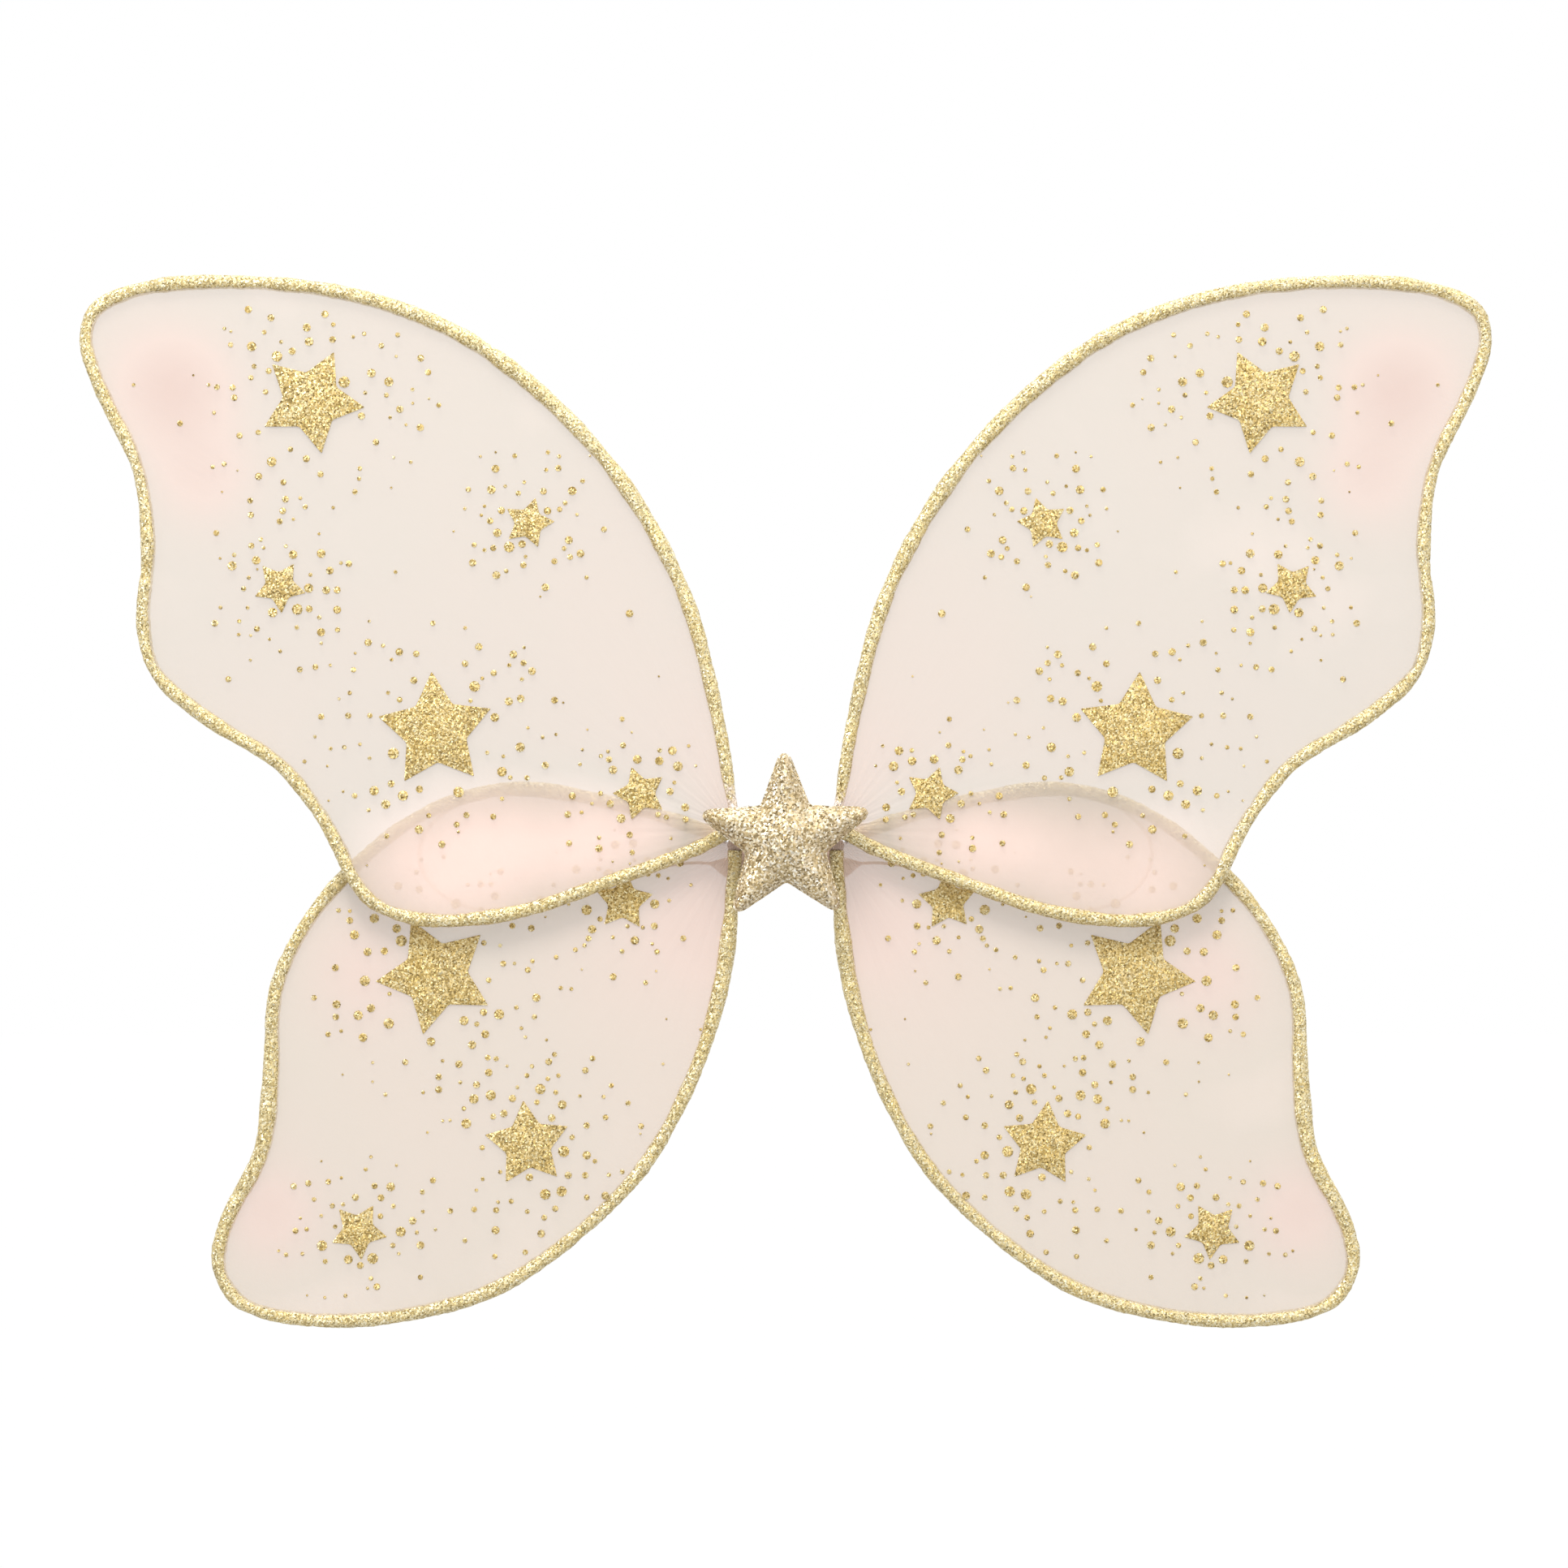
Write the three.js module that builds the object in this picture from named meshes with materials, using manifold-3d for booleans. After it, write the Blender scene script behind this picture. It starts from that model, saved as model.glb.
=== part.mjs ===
// Fairy wings for a child: four wire loops covered with sheer net, glitter edges, a padded
// star at the centre, a felt back pad with a patch on it and two elastic arm loops.
// Millimetres, +Z up, -Y towards the display side. The origin lies on the patch's back face,
// which rests between the wearer's shoulder blades.
import * as THREE from 'three';
import { mergeVertices } from 'three/addons/utils/BufferGeometryUtils.js';
import Module from 'manifold-3d';

// Driving sizes
const WING_SPAN = 500; // across the tips of the upper wings
const WING_HEIGHT = 373; // from the top of the upper wings to the bottom of the lower ones
const WIRE_D = 2; // steel wire of each loop
const NET_T = 0.3; // one layer of stretched net
const COAT_T = 0.4; // glitter coat over the edge
const EDGE_WIDTH = 4.5; // glitter edge, seen from the front
const LAYER_GAP = 1.4; // between the upper wings and the lower wings behind them
const STAR_R = 31.6; // centre of the star to a tip, before rounding
const STAR_NOTCH_R = 16; // centre of the star to a notch
const STAR_TIP_ROUND = 3; // length of each side that the rounded tip takes up
const STAR_FRONT = 9; // how far the stuffed star stands in front of its seam
const STAR_BACK = 4.5; // and behind it
const STAR_TILT = 0.9; // degrees, right arm higher
const STAR_Z = -1.2; // centre of the star, from the origin
const STAR_WALL = 0.8; // glitter fabric with its backing
const PAD = { width: 32, height: 24, thickness: 2.5, corner: 7 };
const PATCH = { width: 23.4, height: 18, thickness: 0.8, corner: 4 }; // between the strap ends
const PAD_Z = -3.5; // middle of the pad and its patch
const BINDING_LENGTH = 22; // tape wound round the twisted tails
const BINDING_T = 0.8;
const TIE_R = 2.8; // knot of thread round the gathered net at each root
const ROOT_X = 18; // where the wires bend, measured from the middle
const ROOT_Z = { upper: 2.5, lower: -3.5 };
const STRAP = { width: 8, thickness: 1, root: 12 }; // flat elastic; root is where it is sewn
const TOUCH = 0.3; // left between pieces that touch

// Sizes that follow
const netInner = WIRE_D / 2 + TOUCH;
const netOuter = netInner + NET_T;
const coatInner = netOuter + TOUCH;
const coatOuter = coatInner + COAT_T;
const tailR = WIRE_D; // two wires twisted together
const layerY = coatOuter + LAYER_GAP / 2; // each wing's plane, from the middle of the binding
const tailReach = Math.hypot(layerY, (ROOT_Z.upper - ROOT_Z.lower) / 2) + tailR;
const bindingInner = tailReach + TOUCH;
const bindingOuter = bindingInner + BINDING_T;
const bindingZ = (ROOT_Z.upper + ROOT_Z.lower) / 2;
const padBackY = -PATCH.thickness - TOUCH;
const middleY = padBackY - PAD.thickness - TOUCH - bindingOuter;
const wingY = { upper: middleY - layerY, lower: middleY + layerY };
const seamY = middleY - bindingOuter - TOUCH - STAR_BACK;

// Outer edges of the right-hand wings, as [out from the middle, up from the star's centre].
// Each runs from the root along the inner edge, round the tip and back to the root.
const OUTLINES = {
  upper: [
    [17.4, 16], [22, 43], [34.8, 89], [62.8, 135.5], [108, 176], [151, 193.5], [197, 198.6],
    [229, 196], [246, 188], [250, 176], [245, 158.5], [231.5, 129.5], [228, 101], [229.8, 76],
    [225, 57], [206.5, 40], [180.5, 23.5], [164.5, 3], [149.5, -23.5], [129.5, -31.7],
    [96, -29.4], [63, -18.7], [30, -6.2],
  ],
  lower: [
    [17, -26], [21, -55], [32, -89], [52.7, -124], [93.5, -158.5], [122, -170], [162, -174.8],
    [194, -168.5], [203.6, -154], [201, -137], [188.5, -111.5], [185.2, -84], [183.5, -55],
    [173.5, -32], [156.5, -11], [131, 9], [100, 18.8], [63, 14.4], [30, 4.6],
  ],
};
const LEAVES_AT = { upper: [92, -20], lower: [-92, 24] }; // degrees round the root tie
const STEPS_PER_POINT = 3;

const wasm = await Module();
wasm.setup();

// A shape's vertices merged, with only their positions left.
function welded(geometry) {
  geometry.deleteAttribute('normal');
  geometry.deleteAttribute('uv');
  return mergeVertices(geometry, 1e-4);
}

function toSolid(geometry) {
  const merged = welded(geometry);
  return new wasm.Manifold(new wasm.Mesh({
    numProp: 3,
    vertProperties: new Float32Array(merged.attributes.position.array),
    triVerts: new Uint32Array(merged.index.array),
  }));
}

function fromSolid(solid) {
  const mesh = solid.getMesh();
  const geometry = new THREE.BufferGeometry();
  geometry.setAttribute('position', new THREE.BufferAttribute(mesh.vertProperties, 3));
  geometry.setIndex(new THREE.BufferAttribute(mesh.triVerts, 1));
  return geometry;
}

// The left-hand copy of a right-hand shape.
function mirrored(geometry) {
  const copy = geometry.clone().scale(-1, 1, 1);
  const index = copy.index.array;
  for (let i = 0; i < index.length; i += 3) {
    [index[i + 1], index[i + 2]] = [index[i + 2], index[i + 1]];
  }
  return copy;
}

function steel() {
  return new THREE.MeshStandardMaterial({ color: 0xb9bcc0, roughness: 0.35, metalness: 1 });
}

function net() {
  return new THREE.MeshStandardMaterial({ color: 0xf3e8de, roughness: 0.8, metalness: 0 });
}

function glitter() {
  return new THREE.MeshStandardMaterial({ color: 0xd9c48a, roughness: 0.45, metalness: 0.6 });
}

function glitterFabric() {
  return new THREE.MeshStandardMaterial({ color: 0xd9c9a8, roughness: 0.5, metalness: 0.5 });
}

function cloth(color) {
  return new THREE.MeshStandardMaterial({ color, roughness: 0.9, metalness: 0 });
}

const group = new THREE.Group();

function addMesh(name, geometry, material) {
  const mesh = new THREE.Mesh(geometry, material);
  mesh.name = name;
  group.add(mesh);
}

// A curve whose steps follow its control points, so tight bends get shorter steps.
class EdgeCurve extends THREE.CatmullRomCurve3 {
  getPointAt(u, target) {
    return this.getPoint(u, target);
  }

  getTangentAt(u, target) {
    return this.getTangent(u, target);
  }
}

const outermost = Math.max(...OUTLINES.upper.map(([out]) => out));
const highest = Math.max(...OUTLINES.upper.map(([, up]) => up));
const lowest = Math.min(...OUTLINES.lower.map(([, up]) => up));
const outScale = (WING_SPAN / 2 - ROOT_X) / (outermost - ROOT_X);
const upScale = WING_HEIGHT / (highest - lowest);

// The wing's outer edge, moved inwards to the middle of the wire.
function wireLine(level) {
  const edge = OUTLINES[level].map(([out, up]) => new THREE.Vector2(
    ROOT_X + (out - ROOT_X) * outScale,
    ROOT_Z[level] + (up - ROOT_Z[level]) * upScale,
  ));
  const turn = level === 'upper' ? 1 : -1;
  return edge.map((point, i) => {
    const before = edge[Math.max(i - 1, 0)];
    const after = edge[Math.min(i + 1, edge.length - 1)];
    const along = after.clone().sub(before).normalize();
    const inward = new THREE.Vector2(along.y, -along.x).multiplyScalar(turn * coatOuter);
    return point.clone().add(inward);
  });
}

function aroundRoot(level, degrees, radius) {
  const angle = THREE.MathUtils.degToRad(degrees);
  return new THREE.Vector2(
    ROOT_X + radius * Math.cos(angle),
    ROOT_Z[level] + radius * Math.sin(angle),
  );
}

function wingCurve(level) {
  const reach = TIE_R + TOUCH * 2;
  const [leaves, returns] = LEAVES_AT[level];
  const points = [
    aroundRoot(level, leaves, reach),
    ...wireLine(level),
    aroundRoot(level, returns, reach),
  ];
  return new EdgeCurve(points.map((p) => new THREE.Vector3(p.x, wingY[level], p.y)));
}

function edgeSteps(curve) {
  return curve.getSpacedPoints((curve.points.length - 1) * STEPS_PER_POINT);
}

// A section swept along a wing's edge, short of both its ends by a number of steps.
function sweptAlong(curve, section, shortBy) {
  const all = edgeSteps(curve);
  const points = all.slice(shortBy, all.length - shortBy);
  const path = new EdgeCurve(points);
  return welded(new THREE.ExtrudeGeometry(new THREE.Shape(section), {
    extrudePath: path, steps: points.length - 1, bevelEnabled: false,
  }));
}

function roundSection(radius, sides) {
  return Array.from({ length: sides }, (_, i) => {
    const angle = (i * 2 * Math.PI) / sides;
    return new THREE.Vector2(radius * Math.cos(angle), radius * Math.sin(angle));
  });
}

// The glitter coat grips the edge from outside and is open towards the middle of the wing.
function coatSection(turn) {
  const arm = EDGE_WIDTH - coatOuter;
  const half = [
    [coatOuter, arm], [coatOuter, -0.3 * coatOuter], [0, -coatOuter],
    [-coatOuter, -0.3 * coatOuter], [-coatOuter, arm],
    [-coatInner, arm], [-coatInner, 0], [0, -coatInner], [coatInner, 0], [coatInner, arm],
  ];
  return half.map(([across, inward]) => new THREE.Vector2(across, turn * inward));
}

function wireLoop(level) {
  return sweptAlong(wingCurve(level), roundSection(WIRE_D / 2, 6), 0);
}

function glitterEdge(level) {
  const turn = level === 'upper' ? 1 : -1;
  return sweptAlong(wingCurve(level), coatSection(turn), 1);
}

// One layer of net: flat, bounded by the middle of the wire and by an arc round the root tie.
function netPanel(level, front) {
  const rim = edgeSteps(wingCurve(level)).map((p) => new THREE.Vector2(p.x, p.z));
  const [leaves, returns] = LEAVES_AT[level];
  for (const share of [0.25, 0.5, 0.75]) {
    const angle = THREE.MathUtils.lerp(returns, leaves, share);
    rim.push(aroundRoot(level, angle, TIE_R + TOUCH * 3));
  }
  const sheet = new THREE.ExtrudeGeometry(new THREE.Shape(rim), {
    depth: NET_T, bevelEnabled: false,
  });
  sheet.rotateX(Math.PI / 2); // up becomes +Z, and the thickness runs towards -Y
  const y = wingY[level] + (front ? -netInner : netOuter);
  return welded(sheet.translate(0, y, 0));
}

function rootTie(level) {
  const knot = new THREE.SphereGeometry(TIE_R, 12, 8);
  return welded(knot.translate(ROOT_X, wingY[level], ROOT_Z[level]));
}

// The two ends of a loop twisted together, from the root tie to the middle.
function wireTail(level) {
  const start = TOUCH / 2;
  const end = ROOT_X - TIE_R - TOUCH;
  const rod = new THREE.CylinderGeometry(tailR, tailR, end - start, 10);
  rod.rotateZ(-Math.PI / 2);
  return welded(rod.translate((start + end) / 2, wingY[level], ROOT_Z[level]));
}

function addWing(level) {
  const pieces = {
    wire_loop: [wireLoop(level), steel()],
    front_net: [netPanel(level, true), net()],
    back_net: [netPanel(level, false), net()],
    glitter_edge: [glitterEdge(level), glitter()],
    gather_tie: [rootTie(level), cloth(0xf1ddd2)],
    wire_tail: [wireTail(level), steel()],
  };
  for (const [piece, [geometry, material]] of Object.entries(pieces)) {
    addMesh(`${level}_right_${piece}`, geometry, material);
    addMesh(`${level}_left_${piece}`, mirrored(geometry), material.clone());
  }
}

// Tape wound round all four tails.
function centreBinding() {
  const ring = new THREE.Shape(roundSection(bindingOuter, 24));
  ring.holes.push(new THREE.Path(roundSection(bindingInner, 24)));
  const sleeve = new THREE.ExtrudeGeometry(ring, { depth: BINDING_LENGTH, bevelEnabled: false });
  sleeve.rotateY(Math.PI / 2);
  return welded(sleeve.translate(-BINDING_LENGTH / 2, middleY, bindingZ));
}

// A five-pointed outline with rounded tips, inset all round by the given amount.
function starOutline(inset) {
  const corner = (k) => {
    const angle = Math.PI / 2 + (k * Math.PI) / 5;
    const radius = (k % 2 ? STAR_NOTCH_R : STAR_R) * (1 - inset / STAR_NOTCH_R);
    return new THREE.Vector2(radius * Math.cos(angle), radius * Math.sin(angle));
  };
  const shape = new THREE.Shape();
  for (let k = 0; k < 10; k += 2) {
    const tip = corner(k);
    const [before, after] = [corner(k + 9), corner(k + 1)].map(
      (notch) => tip.clone().add(notch.clone().sub(tip).setLength(STAR_TIP_ROUND)),
    );
    if (k === 0) {
      shape.moveTo(before.x, before.y);
    } else {
      shape.lineTo(before.x, before.y);
    }
    shape.quadraticCurveTo(tip.x, tip.y, after.x, after.y);
    shape.lineTo(corner(k + 1).x, corner(k + 1).y);
  }
  const points = shape.getPoints(4);
  return points.filter((p, i) => p.distanceTo(points[(i + 1) % points.length]) > 1e-3);
}

// A stuffed star: rings of its outline, smaller and higher towards a crown on each side.
function pillow(inset) {
  const outline = starOutline(inset);
  const rise = [30, 60].map(THREE.MathUtils.degToRad);
  const rings = [
    ...[...rise].reverse().map((a) => [Math.cos(a), -(STAR_FRONT - inset) * Math.sin(a)]),
    [1, 0],
    ...rise.map((a) => [Math.cos(a), (STAR_BACK - inset) * Math.sin(a)]),
  ];
  const positions = [0, -(STAR_FRONT - inset), 0];
  for (const [share, y] of rings) {
    for (const point of outline) {
      positions.push(point.x * share, y, point.y * share);
    }
  }
  positions.push(0, STAR_BACK - inset, 0);
  const count = outline.length;
  const last = positions.length / 3 - 1;
  const index = [];
  for (let i = 0; i < count; i += 1) {
    const j = (i + 1) % count;
    index.push(0, 1 + i, 1 + j);
    for (let ring = 0; ring < rings.length - 1; ring += 1) {
      const [a, b] = [1 + ring * count + i, 1 + ring * count + j];
      index.push(a, a + count, b, b, a + count, b + count);
    }
    index.push(last, last - count + j, last - count + i);
  }
  const geometry = new THREE.BufferGeometry();
  geometry.setAttribute('position', new THREE.Float32BufferAttribute(positions, 3));
  geometry.setIndex(index);
  return geometry;
}

function halfSpace(y, thickness) {
  const size = STAR_R * 3;
  return toSolid(new THREE.BoxGeometry(size, thickness, size).translate(0, y, 0));
}

function placedOnBinding(solid) {
  const geometry = fromSolid(solid);
  geometry.rotateY(THREE.MathUtils.degToRad(-STAR_TILT));
  return geometry.translate(0, seamY, STAR_Z);
}

function addStar() {
  const cover = toSolid(pillow(0)).subtract(toSolid(pillow(STAR_WALL)));
  const front = cover.intersect(halfSpace(-(STAR_R + TOUCH) / 2, STAR_R));
  const back = cover.intersect(halfSpace((STAR_R + TOUCH) / 2, STAR_R));
  addMesh('star_front_panel', placedOnBinding(front), glitterFabric());
  addMesh('star_back_panel', placedOnBinding(back), glitterFabric());
  const filling = toSolid(pillow(STAR_WALL + TOUCH));
  addMesh('star_stuffing', placedOnBinding(filling), cloth(0xf7f5f0));
}

// A flat piece of felt with rounded corners, whose back face is at the given y.
function feltPiece({ width, height, thickness, corner: r }, backY) {
  const x = width / 2;
  const z = height / 2;
  const shape = new THREE.Shape();
  shape.moveTo(r - x, -z);
  shape.absarc(x - r, r - z, r, -Math.PI / 2, 0);
  shape.absarc(x - r, z - r, r, 0, Math.PI / 2);
  shape.absarc(r - x, z - r, r, Math.PI / 2, Math.PI);
  shape.absarc(r - x, r - z, r, Math.PI, Math.PI * 1.5);
  const piece = new THREE.ExtrudeGeometry(shape, {
    depth: thickness, bevelEnabled: false, curveSegments: 6,
  });
  piece.rotateX(Math.PI / 2);
  return welded(piece.translate(0, backY, PAD_Z));
}

// The right arm loop lies behind the wings: [out from the middle, up] along the elastic.
const STRAP_ROUTE = [
  [STRAP.root, 6.8], [21, 4.6], [33, 4], [47, 7.2], [63, 12], [80, 15.4], [98, 16], [114, 12.4],
  [126, 4.6], [131, -5.4], [128, -16], [118, -24], [103, -27.2], [86, -24.6], [68, -18.6],
  [50, -12.6], [33, -9.8], [21, -11.2], [STRAP.root, -13.8],
];

function armLoop() {
  const y = padBackY + TOUCH + STRAP.width / 2;
  const path = new THREE.CatmullRomCurve3(
    STRAP_ROUTE.map(([out, up]) => new THREE.Vector3(out, y, up)),
  );
  const across = STRAP.width / 2;
  const thick = STRAP.thickness / 2;
  const section = new THREE.Shape([
    new THREE.Vector2(-across, -thick), new THREE.Vector2(across, -thick),
    new THREE.Vector2(across, thick), new THREE.Vector2(-across, thick),
  ]);
  return welded(new THREE.ExtrudeGeometry(section, {
    extrudePath: path, steps: 64, bevelEnabled: false,
  }));
}

addWing('upper');
addWing('lower');
addMesh('centre_binding', centreBinding(), cloth(0xeee6dc));
addStar();
addMesh('back_pad', feltPiece(PAD, padBackY), cloth(0xf0dcd2));
addMesh('pad_patch', feltPiece(PATCH, 0), cloth(0xf0dcd2));
const loop = armLoop();
addMesh('right_arm_elastic', loop, cloth(0xf6f0ea));
addMesh('left_arm_elastic', mirrored(loop), cloth(0xf6f0ea));

export default group;
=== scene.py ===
import math
import random

import bmesh
import bpy
import numpy as np
from mathutils import Matrix, Vector


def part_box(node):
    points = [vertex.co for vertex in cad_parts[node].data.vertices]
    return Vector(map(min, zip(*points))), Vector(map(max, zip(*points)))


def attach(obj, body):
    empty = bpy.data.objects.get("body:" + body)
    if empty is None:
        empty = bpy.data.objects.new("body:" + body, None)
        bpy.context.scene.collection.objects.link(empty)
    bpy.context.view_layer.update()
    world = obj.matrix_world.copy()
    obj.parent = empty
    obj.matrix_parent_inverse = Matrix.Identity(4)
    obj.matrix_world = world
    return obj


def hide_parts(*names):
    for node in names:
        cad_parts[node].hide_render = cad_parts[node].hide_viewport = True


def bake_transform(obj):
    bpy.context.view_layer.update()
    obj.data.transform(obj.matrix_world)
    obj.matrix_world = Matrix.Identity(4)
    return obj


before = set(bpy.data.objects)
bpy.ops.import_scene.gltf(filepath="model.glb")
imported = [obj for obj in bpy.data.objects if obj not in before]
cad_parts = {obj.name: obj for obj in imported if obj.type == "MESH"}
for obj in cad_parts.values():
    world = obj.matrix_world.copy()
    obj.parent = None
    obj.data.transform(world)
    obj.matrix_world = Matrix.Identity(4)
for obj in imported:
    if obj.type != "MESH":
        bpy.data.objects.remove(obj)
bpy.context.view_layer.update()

# A child's fairy wings: sheer net over wire loops, gold glitter edges and stars, a padded
# glitter star in the middle, and a felt pad and elastic arm loops behind.
# Metres; +Z up, -Y towards the display side.
MM = 0.001

# Sizes shared with the CAD part
WIRE_R = 1 * MM
EDGE_R = 2.25 * MM  # half the width of the glitter edge
TIE_REACH = 3.4 * MM  # from the root to where the wire leaves the tie
NET_HUB = 3.9 * MM  # the CAD net's rim comes nearer the root than this only round the tie
STAR_Z = -1.2 * MM
STAR_TILT = math.radians(0.9)
STRAP_ROUTE = [
    (12, 6.8), (21, 4.6), (33, 4), (47, 7.2), (63, 12), (80, 15.4), (98, 16), (114, 12.4),
    (126, 4.6), (131, -5.4), (128, -16), (118, -24), (103, -27.2), (86, -24.6), (68, -18.6),
    (50, -12.6), (33, -9.8), (21, -11.2), (12, -13.8),
]  # out from the middle and up, in millimetres

# Sizes of the visible pieces alone
PATH_STEP = 2.4 * MM  # between points on a wing's outline
NET_START = 1.6 * MM  # the net runs on into the tie, to this distance from the root
GATHER_LENGTH = 50 * MM  # the net's gathers fade out over this distance from the root
TWIST_PITCH = 8.5 * MM  # one turn of a twisted tail
STAR_APEX_R, STAR_INNER_R, STAR_TIP_ROUND = 35.6 * MM, 15 * MM, 7.3 * MM  # the cut cloth
STAR_R = 30.5 * MM  # centre of the sewn star to the end of a rounded tip
STAR_SEAM_R = 0.45 * MM  # the raised seam round the star
STRAP_HALF_WIDTH, STRAP_THICKNESS = 4 * MM, 0.9 * MM
STRAP_STEP = 1.2 * MM  # between points along an arm loop

# Glitter stars printed on each wing: out from the middle, up, radius to a tip and turn, in
# millimetres and degrees
PRINT_NOTCH = 0.53  # their notches lie at this share of the radius
BIG_PRINT = 14  # a star larger than this has a wider ring of dots
GOLDEN_ANGLE = 2.39996  # from one dot of a ring to the next, which spreads them evenly
PRINTED_STARS = {
    "upper": [
        (167.8, 154.0, 19, -25), (123.8, 37.2, 21, 4), (90.9, 110.8, 9.2, -15),
        (179.0, 88.3, 9.5, -32), (51.5, 15.1, 9.8, 18),
    ],
    "lower": [
        (57.5, -23.3, 10.7, -4), (124.3, -49.5, 21.5, 24), (91.6, -109.5, 15.6, 6),
        (151.7, -140.3, 10.4, -30),
    ],
}
# Places where the net is caught and looks pinker: out, up and spread in millimetres, and how
# much. Below zero the net is painted paler where the two wings overlap: painted light, lifting
# the shade that falls between the stacked layers. The lower wing's tone at 150, -48 is a
# gather, widened to paint the shadow under the upper wing's edge.
NET_TONES = {
    "upper": [(217, 158, 13, 0.75), (207, 128, 12, 0.4), (38, 2, 11, -0.2),
              (60, -1, 17, -0.24), (94, -6, 20, -0.17), (130, -13, 20, -0.13)],
    "lower": [(183, -134, 12, 0.4), (150, -48, 14, 0.3), (30, -30, 18, 0.2),
              (38, -2, 11, -0.18), (60, -4, 15, -0.24), (94, -2, 18, -0.17),
              (130, -8, 18, -0.13)],
}


# ---------------------------------------------------------------- materials

def linear(code):
    """An sRGB hex colour as linear red, green, blue and an alpha of 1."""
    channels = [int(code[i:i + 2], 16) / 255 for i in (0, 2, 4)]
    return [c / 12.92 if c <= 0.04045 else ((c + 0.055) / 1.055) ** 2.4 for c in channels] + [1]


def add_node(tree, kind, inputs=None, **settings):
    """Adds a node with its settings, and links or sets its inputs."""
    node = tree.nodes.new(kind)
    for name, value in settings.items():
        if name == "stops":
            ramp = node.color_ramp.elements
            while len(ramp) < len(value):
                ramp.new(0.5)
            for stop, (place, colour) in zip(ramp, value):
                stop.position, stop.color = place, linear(colour)
        else:
            setattr(node, name, value)
    for name, value in (inputs or {}).items():
        if isinstance(value, bpy.types.NodeSocket):
            tree.links.new(value, node.inputs[name])
        else:
            node.inputs[name].default_value = value
    return node


def new_material(name, roughness, metallic=0.0, **constants):
    """A principled material, with its node tree and shader. Each further constant goes to the
    shader's socket of that name."""
    material = bpy.data.materials.new(name)
    material.use_nodes = True
    shader = material.node_tree.nodes["Principled BSDF"]
    shader.inputs["Roughness"].default_value = roughness
    shader.inputs["Metallic"].default_value = metallic
    for socket, value in constants.items():
        shader.inputs[socket.replace("_", " ")].default_value = value
    return material, material.node_tree, shader


def glitter(name, shades, flake, bare=None):
    """Hexagonal polyester glitter in clear glue. Each flake is tilted to its own angle, and
    each also takes its own colour from the shades: most are champagne gold, the palest are a
    painted highlight and the darkest a painted dark reflection. Real flakes are 0.2 mm; they
    are drawn larger so that they show. Where the piece's own "bare" attribute nears 1, the
    glitter thins out and the cloth shows in the colour called bare."""
    material, tree, shader = new_material(name, 0.36, 0.4)
    place = add_node(tree, "ShaderNodeTexCoord").outputs["Object"]
    flakes = add_node(tree, "ShaderNodeTexVoronoi", {"Vector": place, "Scale": 1 / flake})
    tones = add_node(tree, "ShaderNodeSeparateColor", {"Color": flakes.outputs["Color"]})
    # each flake's colour is painted: pale flakes are a painted highlight, dark ones a painted
    # dark reflection
    colour = add_node(tree, "ShaderNodeValToRGB", {"Fac": tones.outputs["Red"]}, stops=shades)
    patches = add_node(tree, "ShaderNodeTexNoise", {"Vector": place, "Scale": 160, "Detail": 2})
    worn = add_node(
        tree, "ShaderNodeMix", {0: patches.outputs["Fac"], 6: colour.outputs["Color"],
                                7: linear("D9C79A")}, data_type="RGBA", blend_type="SOFT_LIGHT")
    tree.links.new(worn.outputs[2], shader.inputs["Base Color"])
    if bare:
        thin = add_node(tree, "ShaderNodeAttribute", attribute_name="bare")
        gaps = add_node(tree, "ShaderNodeTexNoise", {"Vector": place, "Scale": 420})
        # The noise lies round 0.5, so the first gaps open where the attribute is about 0.8.
        patchy = add_node(tree, "ShaderNodeMath", {0: gaps.outputs["Fac"],
                                                   1: thin.outputs["Fac"]})
        showing = add_node(tree, "ShaderNodeMapRange", {"Value": patchy.outputs[0],
                                                        "From Min": 1.3, "From Max": 1.5})
        cover = add_node(tree, "ShaderNodeMix", {0: showing.outputs[0], 6: worn.outputs[2],
                                                 7: linear(bare)}, data_type="RGBA")
        tree.links.new(cover.outputs[2], shader.inputs["Base Color"])
    lean = add_node(tree, "ShaderNodeVectorMath", {0: flakes.outputs["Color"],
                                                   1: (0.5, 0.5, 0.5)}, operation="SUBTRACT")
    lean = add_node(tree, "ShaderNodeVectorMath", {0: lean.outputs[0], "Scale": 1.1},
                    operation="SCALE")
    facing = add_node(tree, "ShaderNodeNewGeometry").outputs["Normal"]
    facet = add_node(tree, "ShaderNodeVectorMath", {0: facing, 1: lean.outputs[0]})
    facet = add_node(tree, "ShaderNodeVectorMath", {0: facet.outputs[0]},
                     operation="NORMALIZE")
    tree.links.new(facet.outputs[0], shader.inputs["Normal"])
    return material


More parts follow.
